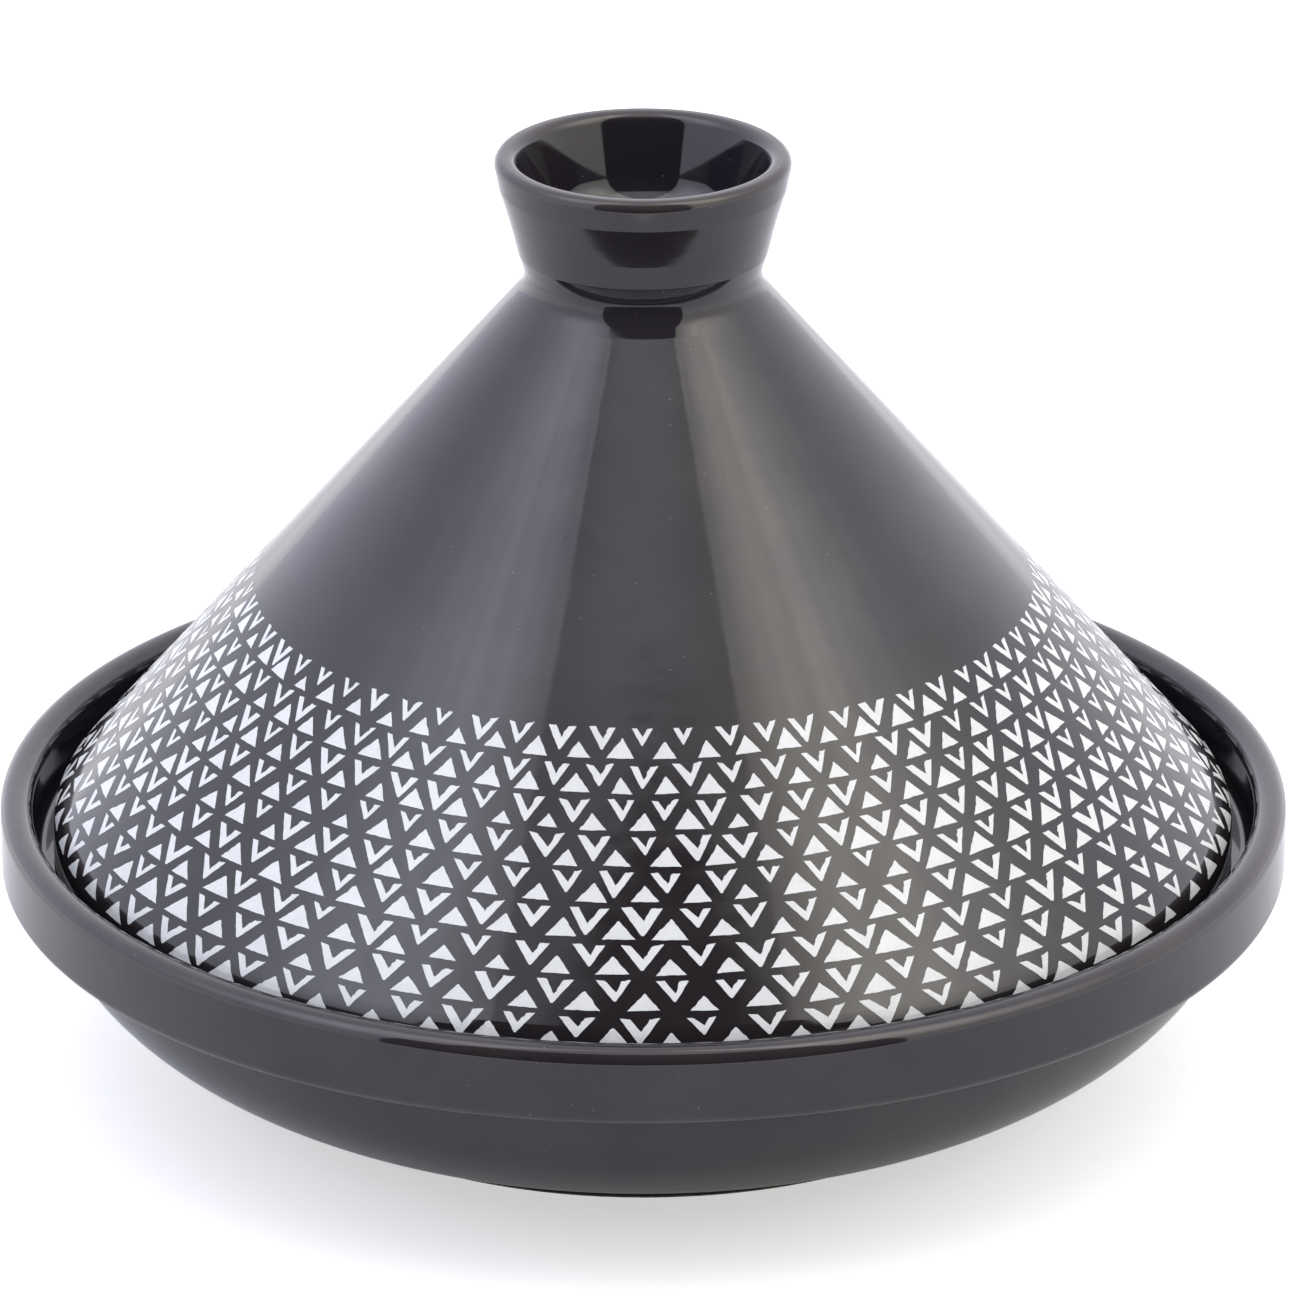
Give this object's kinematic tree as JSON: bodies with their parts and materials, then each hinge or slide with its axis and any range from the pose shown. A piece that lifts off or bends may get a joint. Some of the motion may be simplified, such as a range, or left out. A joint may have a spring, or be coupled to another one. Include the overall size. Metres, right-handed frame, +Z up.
{
  "type": "tagine pot",
  "caption": "Glazed stoneware tagine: a shallow footed dish with a ledge inside its rim, and a conical lid with a flared neck that ends in an open cup.",
  "frame": {"origin": "centre of the foot ring's underside, on the surface that the dish stands on", "axes": "+Z up along the axis that both pieces are turned about; +X and +Y are free directions, because the object is round"},
  "size_m": [0.2794, 0.2794, 0.2038],
  "materials": {
    "charcoal_glaze": "glossy charcoal-black glaze on stoneware",
    "white_print": "white transfer print fired onto the glaze"
  },
  "bodies": {
    "dish": {"dish": "charcoal_glaze"},
    "lid": {"lid": "charcoal_glaze"}
  },
  "joints": [
    {"name": "lid_lift", "type": "slide", "parent": "dish", "child": "lid", "axis": [0, 0, 1], "range_m": [0, 0.12]}
  ]
}
